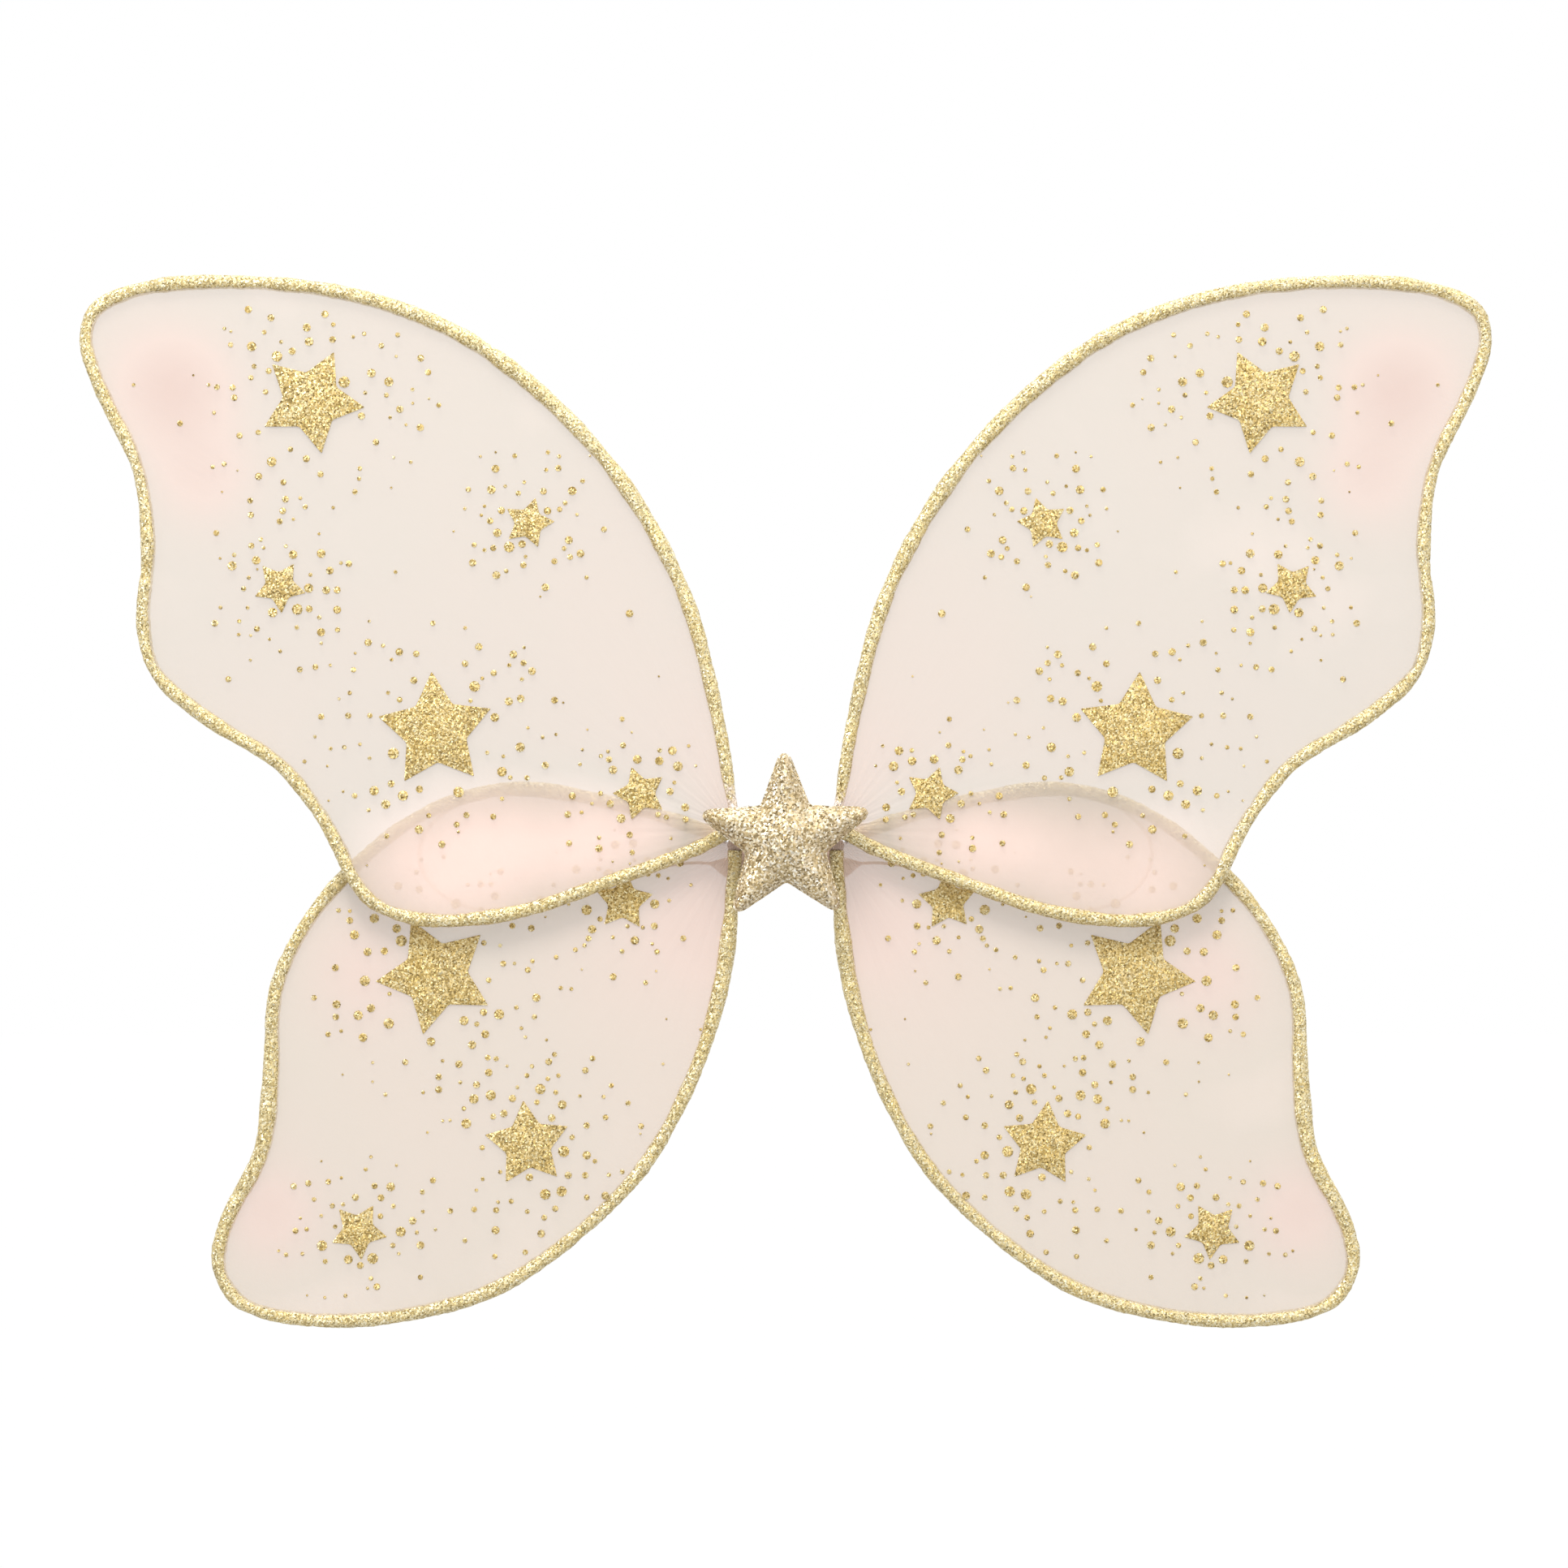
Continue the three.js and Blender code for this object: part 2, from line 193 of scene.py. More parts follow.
def nylon_net(name, cover, tints):
    """Sheer stretch nylon, like hosiery: cream, pinker where it is gathered, with a fine knit.
    The real knit is 0.3 mm; it is drawn at 0.9 mm. The tints run from pale at 0.1 and plain at
    0.25 to pink at 1, by the piece's own "blush" attribute and a few faint clouds. The pale end
    is painted light where the wings overlap, and some of the pink is painted shadow under the
    upper wing's edge."""
    material, tree, shader = new_material(name, 0.72, Alpha=cover, Sheen_Weight=0.15)
    blush = add_node(tree, "ShaderNodeAttribute", attribute_name="blush")
    place = add_node(tree, "ShaderNodeTexCoord")
    clouds = add_node(tree, "ShaderNodeTexNoise",
                      {"Vector": place.outputs["Object"], "Scale": 14, "Detail": 3})
    pinkness = add_node(tree, "ShaderNodeMath", {0: clouds.outputs["Fac"], 1: 0.2,
                                                 2: blush.outputs["Fac"]},
                        operation="MULTIPLY_ADD")
    tint = add_node(tree, "ShaderNodeValToRGB", {"Fac": pinkness.outputs[0]}, stops=tints)
    streaks = add_node(tree, "ShaderNodeMapping",
                       {"Vector": place.outputs["UV"], "Scale": (90, 1.5, 1)})
    gathers = add_node(tree, "ShaderNodeTexNoise",
                       {"Vector": streaks.outputs[0], "Scale": 1, "Detail": 2})
    near_root = add_node(tree, "ShaderNodeAttribute", attribute_name="gathering")
    depth = add_node(tree, "ShaderNodeMath", {0: near_root.outputs["Fac"], 1: 0.1},
                     operation="MULTIPLY")
    lined = add_node(tree, "ShaderNodeMix", {0: depth.outputs[0], 6: tint.outputs["Color"],
                                             7: gathers.outputs["Fac"]},
                     data_type="RGBA", blend_type="SOFT_LIGHT")
    tree.links.new(lined.outputs[2], shader.inputs["Base Color"])
    knit = add_node(tree, "ShaderNodeTexVoronoi",
                    {"Vector": place.outputs["Object"], "Scale": 1100})
    weave = add_node(tree, "ShaderNodeBump", {"Height": knit.outputs["Distance"],
                                              "Strength": 0.12, "Distance": 0.2 * MM})
    tree.links.new(weave.outputs[0], shader.inputs["Normal"])
    return material


def steel_wire():
    """Drawn spring steel: grey, fairly smooth, with fine lines and a few dull patches."""
    material, tree, shader = new_material("drawn_steel_wire", 0.32, 1.0)
    place = add_node(tree, "ShaderNodeTexCoord").outputs["Object"]
    patches = add_node(tree, "ShaderNodeTexNoise", {"Vector": place, "Scale": 220, "Detail": 4})
    colour = add_node(tree, "ShaderNodeValToRGB", {"Fac": patches.outputs["Fac"]}, stops=[
        (0.3, "A9ACB0"), (0.7, "CDCFD2")])
    tree.links.new(colour.outputs["Color"], shader.inputs["Base Color"])
    dull = add_node(tree, "ShaderNodeMapRange", {"Value": patches.outputs["Fac"],
                                                 "To Min": 0.22, "To Max": 0.48})
    tree.links.new(dull.outputs[0], shader.inputs["Roughness"])
    return material


def fibrous(name, dark, light, grain, bump):
    """Felt, fibre filling or thread: matt, with short fibres lying every way."""
    material, tree, shader = new_material(name, 0.95, Sheen_Weight=0.3)
    place = add_node(tree, "ShaderNodeTexCoord").outputs["Object"]
    fibres = add_node(tree, "ShaderNodeTexNoise", {"Vector": place, "Scale": 1 / grain,
                                                   "Detail": 5, "Distortion": 1.5})
    colour = add_node(tree, "ShaderNodeValToRGB", {"Fac": fibres.outputs["Fac"]}, stops=[
        (0.3, dark), (0.7, light)])
    tree.links.new(colour.outputs["Color"], shader.inputs["Base Color"])
    raised = add_node(tree, "ShaderNodeBump", {"Height": fibres.outputs["Fac"],
                                               "Strength": bump, "Distance": grain / 3})
    tree.links.new(raised.outputs[0], shader.inputs["Normal"])
    return material


def woven(name, dark, light, rows, picks):
    """Woven tape or elastic: straight warp ribs crossed by weft, on the strip's own UV map."""
    material, tree, shader = new_material(name, 0.85, Sheen_Weight=0.2)
    place = add_node(tree, "ShaderNodeTexCoord").outputs["UV"]
    parts = add_node(tree, "ShaderNodeSeparateXYZ", {0: place})
    weave = []
    for axis, count in (("X", picks), ("Y", rows)):
        turns = add_node(tree, "ShaderNodeMath", {0: parts.outputs[axis],
                                                  1: count * 2 * math.pi}, operation="MULTIPLY")
        weave.append(add_node(tree, "ShaderNodeMath", {0: turns.outputs[0]},
                              operation="SINE").outputs[0])
    cloth = add_node(tree, "ShaderNodeMath", {0: weave[0], 1: weave[1]}, operation="MULTIPLY")
    ribs = add_node(tree, "ShaderNodeMath", {0: weave[1], 1: 0.6, 2: cloth.outputs[0]},
                    operation="MULTIPLY_ADD")
    height = add_node(tree, "ShaderNodeMapRange", {"Value": ribs.outputs[0],
                                                   "From Min": -1.6, "From Max": 1.6})
    colour = add_node(tree, "ShaderNodeValToRGB", {"Fac": height.outputs[0]}, stops=[
        (0.1, dark), (0.75, light)])
    tree.links.new(colour.outputs["Color"], shader.inputs["Base Color"])
    raised = add_node(tree, "ShaderNodeBump", {"Height": height.outputs[0], "Strength": 0.5,
                                               "Distance": 0.3 * MM})
    tree.links.new(raised.outputs[0], shader.inputs["Normal"])
    return material


# flake shades run from painted dark reflections through champagne gold to painted highlights
# near white
GOLD_SHADES = [(0, "90825A"), (0.3, "BDAC80"), (0.6, "D2C39B"), (0.85, "E6DBBA"), (1, "FBF6E2")]
PRINT_SHADES = [(0, "826F44"), (0.3, "B09961"), (0.6, "C8B17E"), (0.85, "DDCBA0"),
                (1, "F4EAC6")]
STAR_SHADES = [(0, "78694E"), (0.25, "A0906F"), (0.5, "BEAD90"), (0.8, "DED1BB"),
               (1, "FFFAEE")]
edge_glitter = glitter("gold_glitter_edge", GOLD_SHADES, 0.5 * MM, bare="F0E2D6")
print_glitter = glitter("gold_glitter_print", PRINT_SHADES, 0.5 * MM)
star_glitter = glitter("champagne_glitter_fabric", STAR_SHADES, 0.65 * MM)
net_cloth = {  # the lower wings' net is a copy of the same net with more cover and tints of its own, set for how the light falls on the lower wings: painted light and shade
    # the tint at 0.1 is the painted-light pale used where the wings overlap
    "upper": nylon_net("sheer_nylon_net", 0.45, [
        (0.1, "F4DDD2"), (0.25, "CABEB0"), (0.55, "D5BDAF"), (1, "CDAFA0")]),
    "lower": nylon_net("lower_wing_net_painted_light", 0.5, [
        (0.1, "F4DDD2"), (0.25, "CFC1B1"), (0.55, "D9C0B2"), (1, "D2B2A3")]),
}
wire_steel = steel_wire()
tie_thread = fibrous("cotton_thread", "B79F93", "D6C2B6", 0.5 * MM, 0.4)
pad_felt = fibrous("pressed_felt", "C2A79A", "DAC3B7", 1.2 * MM, 0.6)
fibre_fill = fibrous("polyester_filling", "CFCBC3", "E6E4DF", 1.5 * MM, 0.8)
binding_tape = woven("cotton_tape", "B9AC9C", "D8CDBF", 8, 260)
arm_elastic = woven("woven_elastic", "DAD1C7", "F3EEE7", 9, 320)


# ------------------------------------------------------------ making pieces

def pick(*pieces):
    """Selects just these pieces and makes the first one active."""
    bpy.ops.object.select_all(action="DESELECT")
    for piece in pieces:
        piece.select_set(True)
    bpy.context.view_layer.objects.active = pieces[0]


def finish_piece(piece, name, body, material, nodes=(), smooth=40):
    """Names a piece, gives it its finish, hangs it on what it rides on and hides the CAD nodes
    it stands for. A piece with no body of its own rides on nothing."""
    piece.name = piece.data.name = name
    pick(piece)
    bpy.ops.object.transform_apply(location=True, rotation=True, scale=True)
    bpy.ops.object.shade_smooth_by_angle(angle=math.radians(smooth))
    piece.data.materials.clear()
    piece.data.materials.append(material)
    if body:
        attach(piece, body)
    if nodes:
        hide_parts(*nodes)


def work_on(piece, kind, choose, *actions):
    """Selects what `choose` picks and runs the actions on it in edit mode."""
    bpy.ops.object.mode_set(mode="EDIT")
    bpy.ops.mesh.select_mode(type=kind)
    bpy.ops.mesh.select_all(action="DESELECT")
    bpy.ops.object.mode_set(mode="OBJECT")
    mesh = piece.data
    for item in {"VERT": mesh.vertices, "EDGE": mesh.edges, "FACE": mesh.polygons}[kind]:
        item.select = bool(choose(item))
    bpy.ops.object.mode_set(mode="EDIT")
    for action, settings in actions:
        action(**settings)
    bpy.ops.object.mode_set(mode="OBJECT")


def face_out(piece, *actions):
    """Runs the actions on the whole piece, then turns its faces outwards."""
    work_on(piece, "VERT", lambda v: True, *actions,
            (bpy.ops.mesh.select_all, {"action": "SELECT"}),
            (bpy.ops.mesh.normals_make_consistent, {"inside": False}))


def apply_modifier(piece, kind, **settings):
    """Gives a piece a modifier with these settings and applies it."""
    modifier = piece.modifiers.new(kind.lower(), kind)
    for name, value in settings.items():
        setattr(modifier, name, value)
    bpy.context.view_layer.objects.active = piece
    bpy.ops.object.modifier_apply(modifier=modifier.name)


def roughened(piece, size, height):
    """Small lumps all over a piece."""
    lumps = bpy.data.textures.new("lumps", "CLOUDS")
    lumps.noise_scale, lumps.noise_depth = size, 1
    apply_modifier(piece, "DISPLACE", texture=lumps, strength=height, mid_level=0.5,
                   texture_coords="LOCAL")


def smoothed(points, spacing):
    """A smooth path through the points, in even steps of about the given length. Each
    stretch is a Catmull-Rom curve, cut into 12."""
    p = np.array(points, float)
    p = np.vstack([2 * p[0] - p[1], p, 2 * p[-1] - p[-2]])
    t = np.linspace(0, 1, 12, endpoint=False)[:, None]
    fine = [
        0.5 * (2 * b + (c - a) * t + (2 * a - 5 * b + 4 * c - d) * t ** 2
               + (3 * b - a - 3 * c + d) * t ** 3)
        for a, b, c, d in zip(p, p[1:], p[2:], p[3:])
    ]
    fine = np.vstack(fine + [p[-2:-1]])
    steps = np.linalg.norm(np.diff(fine, axis=0), axis=1)
    length = np.concatenate([[0], np.cumsum(steps)])
    count = max(2, round(length[-1] / spacing))
    places = np.linspace(0, length[-1], count + 1)
    return np.column_stack([np.interp(places, length, column) for column in fine.T])


def rod(paths, radius, swell=None, sides=3, closed=False):
    """Round rods along the paths, as one mesh; swell scales the radius point by point."""
    bpy.ops.object.select_all(action="DESELECT")
    bpy.ops.curve.primitive_nurbs_path_add()
    piece = bpy.context.object
    curve = piece.data
    curve.splines.clear()
    for path in paths:
        spline = curve.splines.new("POLY")
        spline.points.add(len(path) - 1)
        spline.points.foreach_set("co", [c for p in path for c in (*p, 1)])
        if swell is not None:
            spline.points.foreach_set("radius", swell)
        spline.use_cyclic_u = closed
    curve.bevel_depth = radius
    curve.bevel_resolution = sides
    curve.use_fill_caps = not closed
    bpy.ops.object.convert(target="MESH")
    piece = bpy.context.object
    face_out(piece, (bpy.ops.mesh.remove_doubles, {"threshold": 1e-6}))
    return piece


def grid(columns, rows, place):
    """A grid with its own UV map, each of whose points goes where place(u, v) says."""
    bpy.ops.object.select_all(action="DESELECT")
    bpy.ops.mesh.primitive_grid_add(x_subdivisions=columns, y_subdivisions=rows, size=2)
    piece = bpy.context.object
    spots = np.array([v.co for v in piece.data.vertices])
    where = place((spots[:, 0] + 1) / 2, (spots[:, 1] + 1) / 2)
    piece.data.vertices.foreach_set("co", np.asarray(where, float).ravel())
    piece.data.update()
    return piece


def turn_out(piece, away):
    """Flips an open sheet if its faces look the wrong way."""
    piece.data.update()
    if sum(f.normal.dot(away) * f.area for f in piece.data.polygons) < 0:
        work_on(piece, "FACE", lambda f: True, (bpy.ops.mesh.flip_normals, {}))


def joined(template, places):
    """Copies of one small shape as one mesh. Each place is a 4x4 matrix."""
    co = np.array([v.co for v in template.data.vertices])
    faces = [list(f.vertices) for f in template.data.polygons]
    points, loops = [], []
    for number, matrix in enumerate(places):
        m = np.array(matrix)
        points.append(co @ m[:3, :3].T + m[:3, 3])
        loops += [[i + number * len(co) for i in face] for face in faces]
    mesh = bpy.data.meshes.new("copies")
    mesh.from_pydata(np.vstack(points).tolist(), [], loops)
    piece = bpy.data.objects.new("copies", mesh)
    bpy.context.scene.collection.objects.link(piece)
    bpy.data.objects.remove(template)
    return piece


def merged(pieces):
    """All the pieces as one."""
    pick(*pieces)
    bpy.ops.object.join()
    return pieces[0]


# -------------------------------------------------------------------- wings

def wire_path(level):
    """The right-hand wire's middle line, as (x, z), read from the rim of its net panel."""
    panel = bmesh.new()
    panel.from_mesh(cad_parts[f"{level}_right_front_net"].data)
    bmesh.ops.remove_doubles(panel, verts=panel.verts, dist=1e-6)
    panel.normal_update()
    following = {}
    for face in panel.faces:
        if face.normal.y > -0.9:
            continue
        for loop in face.loops:
            if all(f is face or f.normal.y > -0.9 for f in loop.edge.link_faces):
                following[loop.vert] = loop.link_loop_next.vert
    vert = next(iter(following))
    rim = []
    for _ in following:
        rim.append((vert.co.x, vert.co.z))
        vert = following[vert]
    panel.free()
    return np.array(rim)


class Wing:
    """One wing's outline and its net's shape, worked out on the right and mirrored."""

    def __init__(self, level, side):
        self.level = level
        self.name = f"{level}_{side}"
        self.body = f"{level}_{side}_wing"
        self.sign = 1 if side == "right" else -1
        low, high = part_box(f"{level}_right_gather_tie")
        middle = (low + high) / 2
        self.plane = middle.y
        self.root = np.array([middle.x, middle.z])
        rim = wire_path(level)
        away = np.linalg.norm(rim - self.root, axis=1)
        start = int(np.argmin(away))
        while away[start - 1] < NET_HUB:
            start -= 1
        rim = np.roll(rim, -start, axis=0)
        away = np.roll(away, -start)
        clear = np.flatnonzero(away > TIE_REACH * 1.5)
        line = rim[clear[0]:clear[-1] + 1]
        inner_first = abs(line[0][0] - self.root[0]) < abs(line[-1][0] - self.root[0])
        line = line if inner_first else line[::-1]
        ends = [self.root + TIE_REACH * (p - self.root) / np.linalg.norm(p - self.root)
                for p in (line[0], line[-1])]
        self.path = smoothed([ends[0], *line, ends[1]], PATH_STEP)
        spokes = self.path - self.root
        self.reach = np.linalg.norm(spokes, axis=1)
        self.angle = np.unwrap(np.arctan2(spokes[:, 1], spokes[:, 0]))

    def placed(self, x, y, z):
        """Points worked out on the right, on this wing's own side."""
        return np.column_stack([self.sign * np.asarray(x), y, z])

    def share_at(self, x, z):
        """How far out a point is, from 0 at the root to 1 at the wire, and its direction."""
        out, up = x - self.root[0], z - self.root[1]
        angle = np.arctan2(up, out)
        order = np.argsort(self.angle)
        reach = np.interp(angle, self.angle[order], self.reach[order], left=0, right=0)
        return np.hypot(out, up) / np.maximum(reach, 1e-6), angle

    def tones(self, x, z):
        """For each of the wing's tones: its strength, how near a point is to its middle, up
        to 1, and the point's direction from there."""
        for out, up, spread, strength in NET_TONES[self.level]:
            dx, dz = x - out * MM, z - up * MM
            near = np.exp(-(dx ** 2 + dz ** 2) / (2 * (spread * MM) ** 2))
            yield strength, near, np.arctan2(dz, dx)

    def net_depth(self, x, z):
        """How far the front net stands in front of the wing's plane: pinched at the tie,
        pleated near it, nearly flat in the middle and round the wire at the rim."""
        share, angle = self.share_at(x, z)
        share = np.minimum(share, 1)
        away = np.hypot(x - self.root[0], z - self.root[1])
        pleats = (np.sin(angle * 41) + 0.6 * np.sin(angle * 67 + 1.3)
                  + 0.5 * np.sin(angle * 23 + 0.4))
        depth = 0.75 * MM + 0.7 * MM * share ** 5 + 0.3 * MM * np.exp(-away / (12 * MM))
        slack = 1 - share ** 6  # pleats and creases die out at the wire
        depth += pleats * 0.09 * MM * np.exp(-away / (34 * MM)) * slack
        for strength, near, direction in self.tones(x, z):
            creases = np.sin(9 * direction + 1)
            depth += creases * 0.2 * MM * near * max(strength, 0) * slack
        return depth

    def blush(self, x, z):
        """How pink the net looks: 0 is pale, 0.15 plain cream and 1 pink. Below 0.15 it is
        painted light where the wings overlap, and the lower wing's tone at 150, -48 adds
        painted shadow under the upper wing's edge.
        """
        away = np.hypot(x - self.root[0], z - self.root[1])
        pink = 0.15 + 0.4 * np.exp(-away / GATHER_LENGTH)
        for strength, near, _ in self.tones(x, z):
            pink = pink + strength * near
        return np.clip(pink, 0, 1)

    def on_net(self, out, up, lift):
        """A place this far in front of the front net, for a point in millimetres."""
        x, z = out * MM, up * MM
        depth = float(self.net_depth(np.array([x]), np.array([z]))[0])
        return Matrix.Translation((self.sign * x, self.plane - depth - lift, z))


def add_net(wing, front):
    """One layer of net, stretched from the root tie to the wire all round."""
    facing = -1 if front else 1

    def place(u, v):
        at = u * (len(wing.path) - 1)
        steps = np.arange(len(wing.path))
        rim_x, rim_z = (np.interp(at, steps, column) for column in wing.path.T)
        spoke = np.column_stack([rim_x, rim_z]) - wing.root
        reach = np.linalg.norm(spoke, axis=1)
        hub = np.minimum(NET_START, reach * 0.5)
        away = hub + (reach - hub) * v ** 1.15  # rows lie closer together near the root
        x, z = (wing.root + spoke * (away / reach)[:, None]).T
        depth = wing.net_depth(x, z) * (1 if front else 0.9)
        return wing.placed(x, wing.plane + facing * depth, z)

    net = grid(len(wing.path) - 1, 46, place)
    x, _, z = (np.array([v.co for v in net.data.vertices]) * (wing.sign, 1, 1)).T
    from_root = np.hypot(x - wing.root[0], z - wing.root[1])
    for attribute, values in (("blush", wing.blush(x, z)),
                              ("gathering", np.exp(-from_root / GATHER_LENGTH))):
        net.data.attributes.new(attribute, "FLOAT", "POINT").data.foreach_set("value", values)
    turn_out(net, Vector((0, facing, 0)))
    layer = "front" if front else "back"
    finish_piece(net, f"{wing.name}_{layer}_net_panel", wing.body,
                 net_cloth[wing.level], [f"{wing.name}_{layer}_net"], smooth=80)


def add_wire(wing):
    """The spring wire round the wing."""
    x, z = wing.path.T
    wire = rod([wing.placed(x, np.full(len(x), wing.plane), z)], WIRE_R)
    finish_piece(wire, f"{wing.name}_wire", wing.body, wire_steel,
                 [f"{wing.name}_wire_loop"])


def bareness(x, z):
    """How bare of glitter an upper wing's edge is, from 0 to 1: along its inner side the
    glitter thins out on the way down to the star."""
    begins, bare, lowest, inner = 34 * MM, 12 * MM, 7.5 * MM, 30 * MM
    return np.clip((begins - z) / (begins - bare), 0, 1) * (x < inner) * (z > lowest)


def rise_near(values, middle, spread):
    """Smoothly up to 1 where the values come near the middle; both are in millimetres."""
    return np.exp(-((values - middle * MM) / (spread * MM)) ** 2)


def add_glitter_edge(wing):
    """Glue and glitter brushed over the edge: lumpy, and wider in a few stretches. One end
    of each band runs on into the tie, and the other stops short of it."""
    upper = wing.level == "upper"
    line = smoothed(wing.path, 1.1 * MM)
    if upper:
        line = np.vstack([line[2:], (wing.root + line[-1]) / 2])
    else:
        line = np.vstack([(wing.root + line[0]) / 2, line[:-2]])
    x, z = line.T
    draw = random.Random(7 if upper else 11)
    window = 9
    wander = np.convolve([draw.uniform(-1, 1) for _ in range(len(x) + window - 1)],
                         np.ones(window) / window, "valid")
    swell = 1.1 + 0.3 * wander
    if upper:
        swell += 0.2 * rise_near(x, 75, 40) * (z > 80 * MM)
        swell *= 1 - 0.2 * bareness(x, z)
    else:
        swell += 0.3 * rise_near(z, -98, 20) * (x > 150 * MM)
        swell += 0.2 * rise_near(z, -45, 30) * (x < 40 * MM)
    edge = rod([wing.placed(x, np.full(len(x), wing.plane), z)], EDGE_R, swell, sides=4)
    if upper:
        spots = np.array([v.co for v in edge.data.vertices])
        thin = bareness(np.abs(spots[:, 0]), spots[:, 2])
        edge.data.attributes.new("bare", "FLOAT", "POINT").data.foreach_set("value", thin)
    roughened(edge, 1.3 * MM, 0.4 * MM)
    finish_piece(edge, f"{wing.name}_glitter_band", wing.body, edge_glitter,
                 [f"{wing.name}_glitter_edge"], smooth=60)


def flat_disc(corners, radius):
    """A flat shape with this many corners, facing the display side."""
    bpy.ops.object.select_all(action="DESELECT")
    bpy.ops.mesh.primitive_circle_add(vertices=corners, radius=radius, fill_type="NGON",
                                      rotation=(math.pi / 2, 0, 0))
    bpy.ops.object.transform_apply(location=True, rotation=True, scale=True)
    return bpy.context.object


def thicken(piece, thickness, inset, rise):
    """Gives a flat shape its thickness, and a front that rises inside its edge."""
    work_on(piece, "FACE", lambda f: True,
            (bpy.ops.mesh.extrude_region_move,
             {"TRANSFORM_OT_translate": {"value": (0, -thickness, 0)}}),
            (bpy.ops.mesh.inset, {"thickness": inset, "depth": rise}),
            (bpy.ops.mesh.select_all, {"action": "SELECT"}),
            (bpy.ops.mesh.normals_make_consistent, {"inside": False}))


def flat_star(radius, notch, thickness, tip_round, notch_round):
    """A five-pointed star with rounded corners, whose notches lie at this share of the
    radius."""
    star = flat_disc(10, radius)

    def is_notch(vert):
        turn = math.degrees(math.atan2(vert.co.x, vert.co.z)) % 72
        return 18 < turn < 54

    work_on(star, "VERT", is_notch,
            (bpy.ops.transform.resize, {"value": (notch, 1, notch),
                                        "center_override": (0, 0, 0)}))
    segments = 5 if tip_round > radius / 10 else 2
    for choose, offset in ((lambda v: v.co.length > radius * 0.99, tip_round),
                           (lambda v: v.co.length < radius * notch * 1.01, notch_round)):
        work_on(star, "VERT", choose, (bpy.ops.mesh.bevel, {
            "offset": offset, "segments": segments, "affect": "VERTICES"}))
    thicken(star, thickness, thickness, thickness * 0.4)
    return star


def glitter_dot():
    """A drop of glitter glue, a low dome one unit across."""
    dot = flat_disc(8, 0.5)
    thicken(dot, 0.12, 0.16, 0.08)
    return dot


def beyond_star(x, z, radius, turn):
    """How far a point stands outside a printed star at the origin; negative inside."""
    turned = (math.atan2(x, z) - math.radians(turn)) % math.radians(72)
    part = abs(turned - math.radians(36)) / math.radians(36)
    return math.hypot(x, z) - radius * (PRINT_NOTCH + (1 - PRINT_NOTCH) * part ** 1.4)


def dot_places(wing):
    """Dots ringed round each star, smaller and sparser outwards, and a few strays. They are
    given as out, up and width, in millimetres."""
    draw = random.Random(31 if wing.level == "upper" else 47)
    stars = PRINTED_STARS[wing.level]
    star_gap, dot_gap = 0.7, 0.9
    dots = []

    def try_dot(x, z, size):
        """Keeps a dot that lies on the net, off the stars and clear of the other dots."""
        share = wing.share_at(x * MM, z * MM)[0]
        if not 0.08 < share < 0.955:
            return
        if any(beyond_star(x - out, z - up, r, star_turn) < size / 2 + star_gap
               for out, up, r, star_turn in stars):
            return
        if any(math.hypot(x - a, z - b) < (size + s) / 2 + dot_gap for a, b, s in dots):
            return
        dots.append((x, z, size))

    for x, z, radius, _ in stars:
        ring, count = (27, 110) if radius > BIG_PRINT else (19, 74)
        inner, outer = radius * 0.72, radius + ring
        for k in range(count):
            part = (k + 0.5) / count
            away = inner + (outer - inner) * part ** 0.8 + draw.uniform(-1.5, 1.5)
            turn = k * GOLDEN_ANGLE + draw.uniform(-0.25, 0.25)
            size = 3.5 * (1 - 0.5 * part) * draw.choice((0.45, 0.6, 0.8, 1, 1.2))
            if draw.random() < 0.95 - 0.45 * part:
                try_dot(x + away * math.cos(turn), z + away * math.sin(turn), size)
    for _ in range(90):
        try_dot(draw.uniform(30, 245), draw.uniform(-175, 200),
                draw.choice((0.8, 0.9, 1.1, 1.4, 2.2, 2.8)))
    return dots


def add_prints(wing):
    """Stars and dots of glitter printed on the front net."""
    pieces = []
    for out, up, radius, turn in PRINTED_STARS[wing.level]:
        star = flat_star(radius * MM, PRINT_NOTCH, 0.2 * MM, 0.4 * MM, 0.8 * MM)
        star.matrix_world = (wing.on_net(out, up, 0.12 * MM)
                             @ Matrix.Rotation(wing.sign * math.radians(turn), 4, "Y"))
        pieces.append(star)
    places = [
        wing.on_net(out, up, 0.03 * MM) @ Matrix.Rotation(out * up, 4, "Y")
        @ Matrix.Diagonal((size * MM, 1.6 * MM, size * MM, 1))
        for out, up, size in dot_places(wing)
    ]
    pieces.append(joined(glitter_dot(), places))
    finish_piece(merged(pieces), f"{wing.name}_glitter_print", wing.body,
                 print_glitter, smooth=30)


